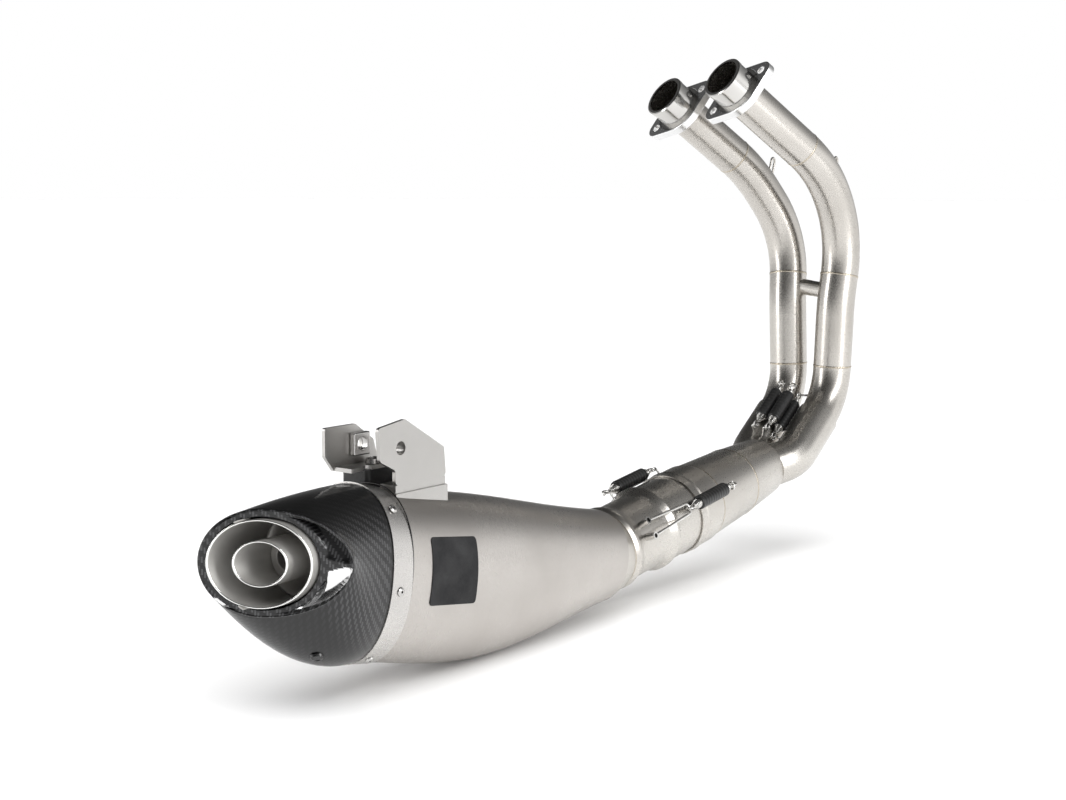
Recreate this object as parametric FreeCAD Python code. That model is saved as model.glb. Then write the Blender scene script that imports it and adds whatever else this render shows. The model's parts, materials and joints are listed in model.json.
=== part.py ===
import FreeCAD, Part
import math
import os

from FreeCAD import Vector, Placement, Rotation

os.makedirs("parts", exist_ok=True)

# ---------------------------------------------------------------------------
# Frame: millimetres, +Z up, origin at the centre of the left header flange.
# +X runs along the silencer from its outlet towards the engine, and +Y is the
# inboard side, away from the side that the outlet faces.
# ---------------------------------------------------------------------------

# Cylinder head face and header flanges
PORT_AZIMUTH = -20.3        # heading of the port axis where it leaves the head
PORT_PITCH = -33.2          # its pitch, below the horizon
PORT_ROLL = 12.1            # tilt of the line that joins the two ports
PORT_SPACING = 80.0
STUD_SPACING = 60.0
STUD_ANGLE = 48.0           # tilt of a flange's two studs, about the port axis
STUD_HOLE_R = 4.25
FLANGE_T = 8.0
FLANGE_EAR_R = 10.0
FLANGE_HUB_R = 27.0
FLANGE_BORE_R = 19.6
FLANGE_RECESS_R = 25.2
FLANGE_RECESS = 3.0

# Header tubes
TUBE_R = 19.0
WALL = 1.2
LIP_R = 21.3
LIP_T = 2.5
LIP_START = -20.0
COLLAR_R = 20.9
COLLAR_BORE_R = 19.3
COLLAR_FOOT_R = 24.5
COLLAR_FOOT_T = 2.6
COLLAR_SPLIT = 0.5
CROSSOVER_R = 8.0

# Slip joint between headers and collector
SLEEVE_R = 20.6
SLEEVE_BORE_R = 19.35
SLIP_TOP = Vector(117, 0, -289)
SLIP_BEND = Vector(40, 0, -342)
LEFT_SLIP_Y = -65.0
RIGHT_SLIP_Y = -113.0
SLIP_MOUTH = 34.0           # from the top bend to the sleeve's mouth
SLIP_END = 66.0             # from the top bend to the end of the header tube

# Collector, along its own axis from the mouth of its outlet socket
MID_Y = -91.0
COLLECTOR_PITCH = 8.0
COLLECTOR_MOUTH = Vector(-156, MID_Y, -374)
SOCKET_R = 37.6
SOCKET_BORE_R = 36.4
SOCKET_LENGTH = 40.0
SHELL_R = 36.4
SHELL_END = 108.0
SHELL_END_R = 33.4
CONE_END = 165.0
CONE_END_R = 28.6

# Silencer, along its own axis from the bend of its inlet pipe
BODY_PITCH = 8.6
INLET_BEND = 110.0          # behind the collector's mouth
SPIGOT_R = 36.1
SPIGOT_REACH = 32.0
BEAD_AT = -42.0
BEAD_R = 38.4
PIPE_R = 34.2
BODY_START = 14.0
BODY_END = 321.0
BODY_WALL = 1.0
BODY_POWER = 2.2            # 2 is an ellipse; more is squarer
BAND_START = 300.0
OUTLET_AT = 402.0
CAP_WALL = 2.0
CAP_FACE_WALL = 4.0
RIVET_AT = 312
RIVET_HOLE_R = 1.75

# Outlet: level tubes, cut by an upright face that leans back outboard.
# Distances along the tubes start at the face's centre and are positive outwards.
FACE_SLASH = 33.0
FACE_HALF_HEIGHT = 37.3
FACE_INBOARD = 37.0
FACE_OUTBOARD = 52.5
CAP_HOLE_R = 32.2
TIP_R = 30.6
INNER_TIP_R = 16.0
TIP_WALL = 1.2
TIP_REACH = 50.0
DISH_AT = -32.0
INSERT_AT = -22.0
CORE_R = 27.0
CORE_START = 30.0
CORE_END = 336.0
BORE_R = 8.2

# Springs
COIL_R = 4.6
SPRING_SLEEVE_R = 6.3
WIRE_R = 1.2
EYE_REACH = 9.0
EYE_WIDTH = 5.0

# Hanger bracket
HANGER_HOLE = Vector(-543, 0, -263.5)
NEAR_PLATE_Y = -109.0
FAR_PLATE_Y = -67.0
PLATE_T = 3.0
HANGER_HOLE_R = 5.0

ORIGIN = Vector(0, 0, 0)
X = Vector(1, 0, 0)
Y = Vector(0, 1, 0)
Z = Vector(0, 0, 1)


# ---------------------------------------------------------------------------
# Small helpers
# ---------------------------------------------------------------------------

def heading(azimuth, pitch):
    """Unit vector with the given heading and pitch, in degrees."""
    a = math.radians(azimuth)
    p = math.radians(pitch)
    return Vector(math.cos(p) * math.cos(a), math.cos(p) * math.sin(a), math.sin(p))


def unit(v):
    return Vector(v).normalize()


def frame_at(origin, axis, side):
    """Placement whose local Z is the axis and whose local X is nearest to side."""
    axis = unit(axis)
    local_y = unit(axis.cross(side))
    local_x = local_y.cross(axis)
    return Placement(origin, Rotation(local_x, local_y, axis, "ZXY"))


def cylinder(origin, axis, radius, length):
    return Part.makeCylinder(radius, length, origin, unit(axis))


def ring(origin, axis, outer, inner, length):
    bore = cylinder(origin - unit(axis) * 1.0, axis, inner, length + 2.0)
    return cylinder(origin, axis, outer, length).cut(bore)


def lathe(placement, outline):
    """Turned solid: outline is a closed list of (distance along Z, radius)."""
    points = [Vector(r, 0, s) for s, r in outline]
    face = Part.Face(Part.makePolygon(points + points[:1]))
    return placed(face.revolve(ORIGIN, Z, 360), placement)


def placed(shape, placement):
    out = shape.copy()
    out.Placement = placement.multiply(out.Placement)
    return out


def fuse_all(shapes):
    out = shapes[0]
    for shape in shapes[1:]:
        out = out.fuse(shape)
    return out.removeSplitter()


def bent_runs(points, radii):
    """Edges of a tube route: straight runs, with an arc at each inner point."""
    runs = []
    start = points[0]
    for k, radius in enumerate(radii, start=1):
        before = unit(points[k] - points[k - 1])
        after = unit(points[k + 1] - points[k])
        turn = before.getAngle(after)
        reach = radius * math.tan(turn / 2)
        enter = points[k] - before * reach
        leave = points[k] + after * reach
        inward = unit(after - before)
        middle = points[k] + inward * (radius / math.cos(turn / 2) - radius)
        runs.append(Part.LineSegment(start, enter).toShape())
        runs.append(Part.Arc(enter, middle, leave).toShape())
        start = leave
    runs.append(Part.LineSegment(start, points[-1]).toShape())
    return runs


def swept(edges, radius):
    """Solid round bar along the edges."""
    first = edges[0]
    start = first.valueAt(first.FirstParameter)
    along = first.tangentAt(first.FirstParameter)
    profile = Part.Wire(Part.Circle(start, along, radius).toShape())
    return Part.Wire(edges).makePipeShell([profile], True, True)


def pipe(edges, outer, inner):
    return swept(edges, outer).cut(swept(edges, inner))


def wire_bar(points, radii, radius=WIRE_R):
    return swept(bent_runs(points, radii), radius)


def save(name, shape):
    shape.exportStep("parts/%s.step" % name)


# ---------------------------------------------------------------------------
# Directions and stations that several sub-parts share
# ---------------------------------------------------------------------------

PORT_AXIS = heading(PORT_AZIMUTH, PORT_PITCH)
PORT_LEVEL = unit(PORT_AXIS.cross(Z))
PORT_UPRIGHT = PORT_LEVEL.cross(PORT_AXIS)


def across_port(angle):
    """Direction in the head face, at an angle above the outboard level line."""
    a = math.radians(angle)
    return PORT_LEVEL * math.cos(a) + PORT_UPRIGHT * math.sin(a)


LEFT_PORT = ORIGIN
RIGHT_PORT = across_port(PORT_ROLL) * PORT_SPACING
SLIP_AXIS = unit(SLIP_BEND - SLIP_TOP)
SLIP_UP = unit(Y.cross(SLIP_AXIS))
COLLECTOR_AXIS = heading(0, COLLECTOR_PITCH)
BODY_AXIS = heading(180, BODY_PITCH)
BODY_UP = unit(BODY_AXIS.cross(-Y))
BODY_ORIGIN = COLLECTOR_MOUTH - COLLECTOR_AXIS * INLET_BEND
COLLECTOR_UP = unit((-Y).cross(COLLECTOR_AXIS))
COLLECTOR_FRAME = frame_at(COLLECTOR_MOUTH, COLLECTOR_AXIS, -Y)
BODY_FRAME = frame_at(BODY_ORIGIN, BODY_AXIS, -Y)
OUTLET = BODY_ORIGIN + BODY_AXIS * OUTLET_AT
OUTLET_FRAME = frame_at(OUTLET, -X, -Y)
FACE_LEAN = math.radians(FACE_SLASH)
FACE_NORMAL = heading(180 + FACE_SLASH, 0)


def body_point(t, outboard, up):
    """Point of the silencer, from its own axis."""
    return BODY_ORIGIN + BODY_AXIS * t - Y * outboard + BODY_UP * up


def collector_point(q, angle, radius):
    """Point round the collector: angle 0 is outboard and 90 is on top."""
    return COLLECTOR_MOUTH + COLLECTOR_AXIS * q + round_collector(angle) * radius


def round_collector(angle):
    """Direction out from the collector's axis."""
    a = math.radians(angle)
    return COLLECTOR_UP * math.sin(a) - Y * math.cos(a)


# ---------------------------------------------------------------------------
# Headers
# ---------------------------------------------------------------------------

BEND_RADII = [150, 100, 150, 60]


def header_points(port, first_run, bend_ys, slip_y):
    """Route of one header from its lip to the end inside the collector."""
    knees = [Vector(131, bend_ys[0], -125), Vector(118, bend_ys[1], -192)]
    first = port + PORT_AXIS * first_run
    top = SLIP_TOP + Y * slip_y
    return [port + PORT_AXIS * LIP_START, first] + knees + [top, top + SLIP_AXIS * SLIP_END]


LEFT_ROUTE = bent_runs(header_points(LEFT_PORT, 110, (-54, -61), LEFT_SLIP_Y), BEND_RADII)
RIGHT_ROUTE = bent_runs(header_points(RIGHT_PORT, 133, (-118, -116), RIGHT_SLIP_Y), BEND_RADII)

# Each header is welded up from four bent sections
HEADER_SECTIONS = {"upper": (0, 1), "bend": (1, 4), "middle": (4, 7), "lower": (7, 9)}


def make_headers():
    for side, route, port in (("left", LEFT_ROUTE, LEFT_PORT), ("right", RIGHT_ROUTE, RIGHT_PORT)):
        for section, (first, last) in HEADER_SECTIONS.items():
            save("%s_header_%s_tube" % (side, section), pipe(route[first:last], TUBE_R, TUBE_R - WALL))
        save("%s_port_lip" % side, port_lip(port))


def port_lip(port):
    """Turned ring on the end of the tube, that the gasket seals against."""
    start = port + PORT_AXIS * LIP_START
    place = frame_at(start, PORT_AXIS, Z)
    bore = TUBE_R - WALL
    outline = [(-2.0, bore), (-2.0, LIP_R - 1.0), (-1.4, LIP_R), (LIP_T, LIP_R), (LIP_T, TUBE_R + 0.02),
               (0, TUBE_R + 0.02), (0, bore)]
    return lathe(place, outline)


def make_crossover():
    """Balance tube between the headers, its ends cut to fit round them."""
    left = Vector(121, -58, -176)
    right = Vector(121, -117, -184)
    tube = ring(left, right - left, CROSSOVER_R, CROSSOVER_R - WALL, (right - left).Length)
    for route in (LEFT_ROUTE, RIGHT_ROUTE):
        tube = tube.cut(swept(route[1:7], TUBE_R))
    save("crossover_tube", largest(tube))


def largest(shape):
    return max(shape.Solids, key=lambda s: s.Volume)


def make_wire_loops():
    """Upright wire loops on the backs of the headers."""
    loops = []
    for route, base in ((LEFT_ROUTE, Vector(109, -43, -66)), (RIGHT_ROUTE, Vector(110, -114, -66))):
        leg = X * 3.6
        up = Vector(0.35, 0, 1).normalize()
        points = [base - leg - up * 6, base - leg + up * 20, base + leg + up * 20, base + leg - up * 14]
        loop = wire_bar(points, [3.5, 3.5])
        loops.append(largest(loop.cut(swept(route[0:4], TUBE_R))))
    save("header_wire_loops", Part.makeCompound(loops))


# ---------------------------------------------------------------------------
# Split collars and loose flanges
# ---------------------------------------------------------------------------

def collar_half(port, sign):
    """One half of the split collar that the flange pushes on."""
    start = LIP_START + LIP_T + 0.1
    foot_end = FLANGE_RECESS - 0.3
    foot_start = foot_end - COLLAR_FOOT_T
    place = frame_at(port, PORT_AXIS, Z)
    outline = [(start, COLLAR_BORE_R), (start, COLLAR_R), (foot_start, COLLAR_R),
               (foot_start, COLLAR_FOOT_R), (foot_end, COLLAR_FOOT_R), (foot_end, COLLAR_BORE_R)]
    whole = lathe(place, outline)
    normal = across_port(STUD_ANGLE + 90) * sign
    side = frame_at(port, normal, PORT_AXIS)
    keep = Part.makeBox(120, 120, 60, Vector(-60, -60, COLLAR_SPLIT))
    return whole.common(placed(keep, side))


def flange(port):
    """Two-stud flange: a round hub that tapers to an ear at each stud."""
    place = frame_at(port, PORT_AXIS, across_port(STUD_ANGLE))
    half = STUD_SPACING / 2
    lean = math.acos((FLANGE_HUB_R - FLANGE_EAR_R) / half)
    tangent = Vector(math.cos(lean), math.sin(lean), 0)

    def corner(centre_x, radius, sx, sy):
        return Vector(sx * (centre_x + tangent.x * radius), sy * tangent.y * radius, 0)

    hub = [corner(0, FLANGE_HUB_R, sx, sy) for sx, sy in ((1, 1), (-1, 1), (-1, -1), (1, -1))]
    ear = [corner(half, FLANGE_EAR_R, sx, sy) for sx, sy in ((1, 1), (-1, 1), (-1, -1), (1, -1))]
    edges = [
        Part.Arc(hub[0], Vector(0, FLANGE_HUB_R, 0), hub[1]),
        Part.LineSegment(hub[1], ear[1]),
        Part.Arc(ear[1], Vector(-half - FLANGE_EAR_R, 0, 0), ear[2]),
        Part.LineSegment(ear[2], hub[2]),
        Part.Arc(hub[2], Vector(0, -FLANGE_HUB_R, 0), hub[3]),
        Part.LineSegment(hub[3], ear[3]),
        Part.Arc(ear[3], Vector(half + FLANGE_EAR_R, 0, 0), ear[0]),
        Part.LineSegment(ear[0], hub[0]),
    ]
    outline = Part.Wire([e.toShape() for e in edges])
    plate = Part.Face(outline).extrude(Z * FLANGE_T)
    rims = [e for e in plate.Edges if abs(e.BoundBox.ZLength) < 0.01]
    plate = plate.makeFillet(0.8, rims)
    plate = plate.cut(cylinder(Vector(0, 0, -1), Z, FLANGE_BORE_R, FLANGE_T + 2))
    plate = plate.cut(cylinder(Vector(0, 0, -1), Z, FLANGE_RECESS_R, FLANGE_RECESS + 1))
    for sx in (-1, 1):
        plate = plate.cut(cylinder(Vector(sx * half, 0, -1), Z, STUD_HOLE_R, FLANGE_T + 2))
    slot = Part.makeBox(1.6, 4.5, 1.0, Vector(-22.5, -8.5, -0.4))
    slot.rotate(Vector(-22, -6, 0), Z, 25)
    return placed(plate.cut(slot), place)


def make_flanges():
    for side, port in (("left", LEFT_PORT), ("right", RIGHT_PORT)):
        save("%s_collar_upper_half" % side, collar_half(port, 1))
        save("%s_collar_lower_half" % side, collar_half(port, -1))
        save("%s_header_flange" % side, flange(port))


# ---------------------------------------------------------------------------
# Collector
# ---------------------------------------------------------------------------

INLET_RADII = [44, 22]


def inlet_route(slip_y, inward):
    """Route of a collector inlet: the slip sleeve, a bend, then into the cone."""
    mouth = SLIP_TOP + SLIP_AXIS * SLIP_MOUTH + Y * slip_y
    knee = SLIP_BEND + SLIP_AXIS * 2 + Y * slip_y
    merge = COLLECTOR_MOUTH + COLLECTOR_AXIS * (CONE_END + 4) + Y * (8.5 * inward)
    end = merge - COLLECTOR_AXIS * 22
    return [mouth, knee, merge, end]


def make_collector_inlets():
    """Two bent inlets that grow together; a weld seam runs along the middle."""
    left = inlet_route(LEFT_SLIP_Y, 1)
    right = inlet_route(RIGHT_SLIP_Y, -1)
    routes = [bent_runs(left, INLET_RADII), bent_runs(right, INLET_RADII)]
    bores = [swept(r, SLEEVE_BORE_R) for r in routes]
    for name, route, side in (("left", routes[0], 1), ("right", routes[1], -1)):
        tube = swept(route, SLEEVE_R)
        for bore in bores:
            tube = tube.cut(bore)
        half = Part.makeBox(400, 200, 400, Vector(-200, MID_Y if side > 0 else MID_Y - 200, -500))
        limit = cylinder(collector_point(CONE_END - 12, 0, 0), COLLECTOR_AXIS, CONE_END_R - WALL - 0.05, 12)
        beyond = cylinder(collector_point(CONE_END, 0, 0), COLLECTOR_AXIS, 150, 250)
        save("%s_collector_inlet" % name, largest(tube.common(half).common(limit.fuse(beyond))))


def make_collector_body():
    cone = [(SHELL_END, SHELL_END_R - WALL), (SHELL_END, SHELL_END_R), (CONE_END, CONE_END_R),
            (CONE_END, CONE_END_R - WALL)]
    save("merge_cone", lathe(COLLECTOR_FRAME, cone))
    shell = [(SOCKET_LENGTH, SHELL_R - WALL), (SOCKET_LENGTH, SHELL_R),
             (SHELL_END, SHELL_END_R), (SHELL_END, SHELL_END_R - WALL)]
    save("collector_chamber", lathe(COLLECTOR_FRAME, shell))
    bore = SOCKET_BORE_R
    socket = [(0, bore), (0, SOCKET_R), (8, SOCKET_R), (10, SOCKET_R + 0.7), (12, SOCKET_R),
              (SOCKET_LENGTH - 5, SOCKET_R), (SOCKET_LENGTH, SHELL_R), (SOCKET_LENGTH, SHELL_R - WALL),
              (SOCKET_LENGTH - 5, bore)]
    save("collector_socket", lathe(COLLECTOR_FRAME, socket))


# ---------------------------------------------------------------------------
# Springs and their hooks
# ---------------------------------------------------------------------------

# Header springs: name, sideways place, height over the slip plane, distance
# along it, and the sideways place of the tube that each end is hooked to
HEADER_SPRINGS = (
    ("left", -73.5, 27.5, 50.0, LEFT_SLIP_Y),
    ("middle", -89.0, 29.0, 54.0, LEFT_SLIP_Y),
    ("right", -89.5, 13.6, 50.0, RIGHT_SLIP_Y),
)
HEADER_COIL = 52.0
HEADER_SLEEVE = 38.0

# Silencer springs: name, angle round the collector, distance along it
SILENCER_SPRINGS = (("outboard", 26.0, 11.0), ("inboard", 135.0, -11.0))
SILENCER_SPRING_R = 45.4
SILENCER_COIL = 64.0
SILENCER_SLEEVE = 46.0
POST_AT = -85.0
POST_R = 3.2


def spring_body(centre, axis, coil, sleeve_length):
    """Coil under tension, as a tube with tapered ends, and its sleeve."""
    half = coil / 2
    taper = 7.0
    place = frame_at(centre, axis, Y)
    inner = COIL_R - 1.6
    outline = [(-half, 1.4), (-half, 2.4), (-half + taper, COIL_R), (half - taper, COIL_R), (half, 2.4),
               (half, 1.4), (half - taper, inner), (-half + taper, inner)]
    sleeve = ring(centre - axis * (sleeve_length / 2), axis, SPRING_SLEEVE_R, COIL_R + 0.05, sleeve_length)
    return lathe(place, outline), sleeve


def eye(end, axis, side):
    """Wire eye at the end of a coil, closed round on itself."""
    start = end - side * (EYE_WIDTH / 2)
    far = end + side * (EYE_WIDTH / 2)
    points = [end - axis * 2.5, start + axis * 1.5, start + axis * EYE_REACH, far + axis * EYE_REACH,
              far + axis * 1.5]
    return wire_bar(points, [1.8, 2.4, 2.4])


def save_spring(name, centre, axis, side, coil, sleeve_length):
    body, sleeve = spring_body(centre, axis, coil, sleeve_length)
    front = eye(centre + axis * (coil / 2), axis, side)
    back = eye(centre - axis * (coil / 2), axis * -1, side)
    save(name, fuse_all([body, front, back]))
    return sleeve


def spring_hook(place, across, root, metal):
    """Bent wire hook: a crossbar through the eye, and a leg welded to the metal."""
    bar_start = place - across * 3.4
    knee = place + across * 4.4
    hook = wire_bar([bar_start, knee, root], [2.0], WIRE_R - 0.15)
    return largest(hook.cut(metal))


def slip_point(along, y, height):
    return SLIP_TOP + Y * y + SLIP_AXIS * along + SLIP_UP * height


def make_header_springs():
    header_metal = swept(LEFT_ROUTE[5:9], TUBE_R - 0.3).fuse(swept(RIGHT_ROUTE[5:9], TUBE_R - 0.3))
    inlet_metal = fuse_all([swept(bent_runs(inlet_route(y, s), INLET_RADII), SLEEVE_R - 0.3)
                            for y, s in ((LEFT_SLIP_Y, 1), (RIGHT_SLIP_Y, -1))])
    upper = []
    lower = []
    sleeves = []
    for name, y, height, along, tube_y in HEADER_SPRINGS:
        sleeve = save_spring("%s_header_spring" % name, slip_point(along, y, height), SLIP_AXIS, SLIP_UP,
                             HEADER_COIL, HEADER_SLEEVE)
        sleeves.append(sleeve)
        reach = HEADER_COIL / 2 + EYE_REACH - 2.6
        across = Y if tube_y > y else -Y
        top = slip_point(along - reach, y, height)
        bottom = slip_point(along + reach, y, height)
        upper.append(spring_hook(top, across, Vector(SLIP_TOP.x, tube_y, top.z), header_metal))
        root = slip_point(along + reach + 2, tube_y + (MID_Y - tube_y) * 0.25, 0)
        lower.append(spring_hook(bottom, across, root, inlet_metal))
    save("header_spring_sleeves", Part.makeCompound(sleeves))
    save("header_spring_hooks", Part.makeCompound(upper))
    save("collector_inlet_hooks", Part.makeCompound(lower))


def make_silencer_springs():
    reach = SILENCER_COIL / 2 + EYE_REACH - 2.6
    shell = cylinder(collector_point(-5, 0, 0), COLLECTOR_AXIS, SOCKET_BORE_R + 0.4, SOCKET_LENGTH + 5)
    shell = shell.fuse(cylinder(collector_point(SOCKET_LENGTH, 0, 0), COLLECTOR_AXIS, SHELL_R - 0.5, 60))
    pipe_metal = cylinder(collector_point(-104, 0, 0), COLLECTOR_AXIS, PIPE_R - 0.3, 100)
    hooks = []
    sleeves = []
    pegs = []
    for name, angle, along in SILENCER_SPRINGS:
        out = round_collector(angle)
        across = COLLECTOR_AXIS.cross(out)
        centre = collector_point(along, angle, SILENCER_SPRING_R)
        sleeves.append(save_spring("%s_silencer_spring" % name, centre, COLLECTOR_AXIS, out,
                                   SILENCER_COIL, SILENCER_SLEEVE))
        back = centre + COLLECTOR_AXIS * reach
        hooks.append(spring_hook(back, across, collector_point(along + reach, angle, 20), shell))
        if name == "inboard":
            front = centre - COLLECTOR_AXIS * reach
            pegs.append(spring_hook(front, across, collector_point(along - reach, angle, 20), pipe_metal))
        else:
            pegs += swivel(centre - COLLECTOR_AXIS * reach, angle, across, pipe_metal)
    save("silencer_spring_sleeves", Part.makeCompound(sleeves))
    save("collector_shell_hooks", Part.makeCompound(hooks))
    save("inlet_pipe_hooks", Part.makeCompound(pegs))


def swivel(eye_centre, angle, across, pipe_metal):
    """Saves the long wire loop that the outboard spring pulls on; returns its two posts."""
    spread = 9.5
    posts = []
    feet = []
    for sign in (1, -1):
        out = round_collector(angle + sign * spread)
        base = collector_point(POST_AT, angle + sign * spread, PIPE_R - 6)
        post = ring(base, out, POST_R, POST_R - 1.2, 16.5)
        posts.append(largest(post.cut(pipe_metal)))
        feet.append(collector_point(POST_AT + POST_R + 0.9, angle + sign * spread, SILENCER_SPRING_R - 3))
    tip = eye_centre + COLLECTOR_AXIS * 0.4
    side = across * 4.4
    if (feet[0] - tip).dot(side) < 0:
        side = side * -1
    save("swivel_loop", wire_bar([feet[0], tip + side, tip - side, feet[1]], [3.4, 3.4], 1.3))
    return posts


# ---------------------------------------------------------------------------
# Silencer
# ---------------------------------------------------------------------------

# Sections of the body: distance from the inlet bend, half width, height over
# the axis and depth under it
BODY_SECTIONS = (
    (BODY_START, 39.5, 37.0, 42.5),
    (70.0, 43.0, 40.0, 56.0),
    (130.0, 45.5, 45.0, 71.0),
    (190.0, 46.5, 49.5, 79.0),
    (250.0, 46.5, 51.5, 77.5),
    (BODY_END, 46.5, 55.5, 73.0),
)
OUTLINE_POINTS = 40


def rounded(value, power):
    return math.copysign(abs(value) ** (2 / power), value)


def oval(half_width, top, bottom, inset, angle):
    """Point of a body section: outboard and up from the silencer's axis."""
    height = (top + bottom) / 2
    u = (half_width - inset) * rounded(math.cos(angle), BODY_POWER)
    w = (top - bottom) / 2 + (height - inset) * rounded(math.sin(angle), BODY_POWER)
    return u, w


def face_outline(inset, angle):
    """Point of the outlet face's egg outline."""
    reach = FACE_OUTBOARD if math.cos(angle) > 0 else FACE_INBOARD
    return (reach - inset) * math.cos(angle), (FACE_HALF_HEIGHT - inset) * math.sin(angle)


def face_point(outboard, up, depth=0):
    """Point of the outlet face, or behind it."""
    return OUTLET + X * (outboard * math.tan(FACE_LEAN) + depth) - Y * outboard + Z * up


def closed_wire(point_at):
    angles = [2 * math.pi * (k + 0.5) / OUTLINE_POINTS for k in range(OUTLINE_POINTS)]
    curve = Part.BSplineCurve()
    curve.interpolate(Points=[point_at(a) for a in angles], PeriodicFlag=True)
    return Part.Wire(curve.toShape())


def body_wire(section, inset):
    t, half_width, top, bottom = section

    def point(angle):
        u, w = oval(half_width, top, bottom, inset, angle)
        return body_point(t, u, w)

    return closed_wire(point)


def body_solid(inset):
    return Part.makeLoft([body_wire(s, inset) for s in BODY_SECTIONS], True, False)


def slab(start, end):
    """Everything between two stations of the silencer."""
    return placed(Part.makeBox(300, 300, end - start, Vector(-150, -150, start)), BODY_FRAME)


def cap_wire(share, inset):
    """Section of the end cap, from the body (share 0) to the face (share 1)."""
    t0, half_width, top, bottom = BODY_SECTIONS[-1]
    shrink = share ** 2.2

    def point(angle):
        start = body_point(t0, *oval(half_width, top, bottom, inset, angle))
        move = face_point(*face_outline(inset, angle)) - start
        return start + Vector(move.x * share, move.y * shrink, move.z * shrink)

    return closed_wire(point)


def cap_solid(shares, inset):
    return Part.makeLoft([cap_wire(s, inset) for s in shares], True, False)


def face_prism(corners, depth):
    """Pocket tool that follows the outlet face, from a polygon on it."""
    points = [face_point(u, w, depth) for u, w in corners]
    outline = Part.makePolygon(points + points[:1])
    return Part.Face(outline).extrude(-X * (depth + 10))


def make_end_cap():
    shares = (0, 0.2, 0.4, 0.6, 0.8, 0.93, 1.0)
    hollow = cap_solid(shares, CAP_WALL).cut(beyond_face(-CAP_FACE_WALL))
    cap = cap_solid(shares, 0).cut(hollow)
    cap = cap.cut(cylinder(OUTLET + X * TIP_REACH, -X, CAP_HOLE_R, 200))
    for sign in (1, -1):
        corners = [(28, sign * 23), (38, sign * 8), (48, sign * 3.5), (45, sign * 12), (38, sign * 19)]
        cap = cap.cut(face_prism(corners, 2.2))
    seat = screw_seat()
    cap = cap.cut(lathe(seat, [(-30, 0), (-30, 2.8), (-1.7, 2.8), (-1.7, 6.4), (30, 6.4), (30, 0)]))
    save("end_cap", largest(cap))


def beyond_face(stand_off):
    """Everything past a plane that stands off the outlet face."""
    place = frame_at(OUTLET + FACE_NORMAL * stand_off, FACE_NORMAL, Z)
    return placed(Part.makeBox(400, 400, 200, Vector(-200, -200, 0)), place)


def make_outlet():
    bore = TIP_R - TIP_WALL
    outer = lathe(OUTLET_FRAME, [(-TIP_REACH, bore), (-TIP_REACH, TIP_R), (60, TIP_R), (60, bore)])
    save("outlet_outer_tube", outer.cut(beyond_face(2.4)))
    r = INNER_TIP_R
    core = CORE_R + TIP_WALL
    tube = lathe(OUTLET_FRAME, [(-TIP_REACH, r - TIP_WALL), (-TIP_REACH, r), (60, r), (60, r - TIP_WALL)])
    cone = throat(core, r).cut(throat(core - TIP_WALL, r - TIP_WALL))
    save("outlet_inner_tube", tube.cut(beyond_face(1.8)).fuse(cone))
    rim = bore - 0.05
    dish = [(DISH_AT, rim), (DISH_AT - 1.2, rim), (DISH_AT - 9, rim - 5), (DISH_AT - 12, r + 0.05),
            (DISH_AT - 10.8, r + 0.05), (DISH_AT - 7.8, rim - 5)]
    save("outlet_dish", lathe(OUTLET_FRAME, dish))
    fit = r - TIP_WALL - 0.1
    at = INSERT_AT
    insert = [(at, BORE_R), (at, fit), (at - 8, fit), (at - 8, fit - 1.2), (at - 2, fit - 1.2),
              (at - 2, BORE_R + 1.2), (at - 22, BORE_R + 1.2), (at - 22, BORE_R)]
    save("noise_insert", lathe(OUTLET_FRAME, insert))


def throat(core_radius, tube_radius):
    """Cone that leads from the end of the core to the inner outlet tube."""
    start = Part.Wire(Part.Circle(body_point(CORE_END + 0.1, 0, 0), BODY_AXIS, core_radius).toShape())
    end = Part.Wire(Part.Circle(OUTLET + X * TIP_REACH, -X, tube_radius).toShape())
    return Part.makeLoft([start, end], True, True)


def make_tip_clips():
    """Spring clips that centre the outlet tube in the cap."""
    clips = []
    radius = TIP_R + 0.7
    for angle in (112, 251):
        a = math.radians(angle)
        u = radius * math.cos(a)
        w = radius * math.sin(a)
        out = Z * math.sin(a) - Y * math.cos(a)
        place = frame_at(face_point(u, w, 7), -X, out)
        clips.append(placed(Part.makeBox(1.1, 5, 11, Vector(-0.55, -2.5, 0)), place))
    save("outlet_clips", Part.makeCompound(clips))


def rivet_holes():
    hole = Part.makeCylinder(RIVET_HOLE_R, 16, Vector(0, 0, -8))
    return Part.makeCompound([placed(hole, surface_place(RIVET_AT, math.radians(a), 0)) for a in RIVET_ANGLES])


def make_silencer_body(outer, lining):
    holes = rivet_holes()
    save("silencer_sleeve", largest(outer.cut(lining).cut(holes)))
    band = body_solid(-0.8).common(slab(BAND_START, BODY_END)).cut(body_solid(-0.05))
    save("rear_band", largest(band.cut(holes)))
    baffle = body_solid(BODY_WALL + 0.1).common(slab(305, 307.5))
    save("rear_baffle", baffle.cut(cylinder(body_point(295, 0, 0), BODY_AXIS, CORE_R + 0.1, 30)))
    room = body_solid(BODY_WALL + 0.6).common(slab(34, 303))
    save("packing", room.cut(cylinder(body_point(20, 0, 0), BODY_AXIS, CORE_R + 0.2, 300)))
    make_core()


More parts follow.
